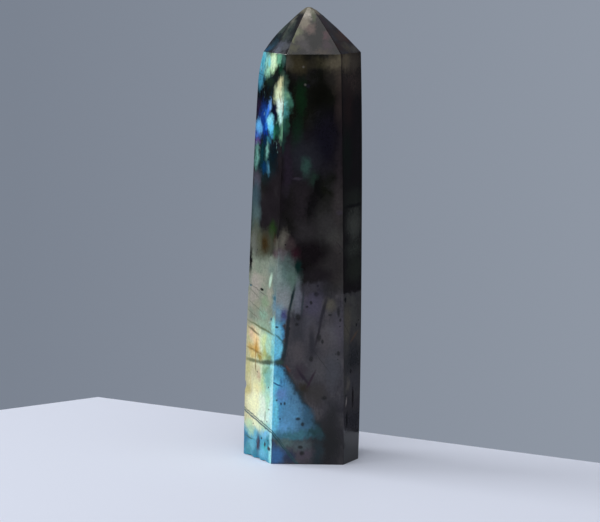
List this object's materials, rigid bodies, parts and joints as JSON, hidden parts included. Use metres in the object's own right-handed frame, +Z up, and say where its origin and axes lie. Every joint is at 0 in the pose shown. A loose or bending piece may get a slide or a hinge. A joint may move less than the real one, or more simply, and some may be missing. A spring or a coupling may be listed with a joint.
{
  "type": "labradorite point",
  "caption": "Hand-polished dark labradorite tower, six-sided and tapering, with a faceted tip and a flat base that it stands on.",
  "frame": {"origin": "bottom centre of the stone's bounding box, on the surface that it stands on", "axes": "+Z up along the stone towards its tip, -Y out of the widest long face, +X to that face's right as it is looked at"},
  "size_m": [0.0204, 0.0162, 0.08],
  "materials": {
    "polished_labradorite": "polished to a gloss: near-black translucent feldspar with patches of blue, cyan, green and gold schiller, grey cloudy zones, healed fissures and small black inclusions"
  },
  "bodies": {
    "root": {"labradorite_point": "polished_labradorite"}
  },
  "joints": []
}
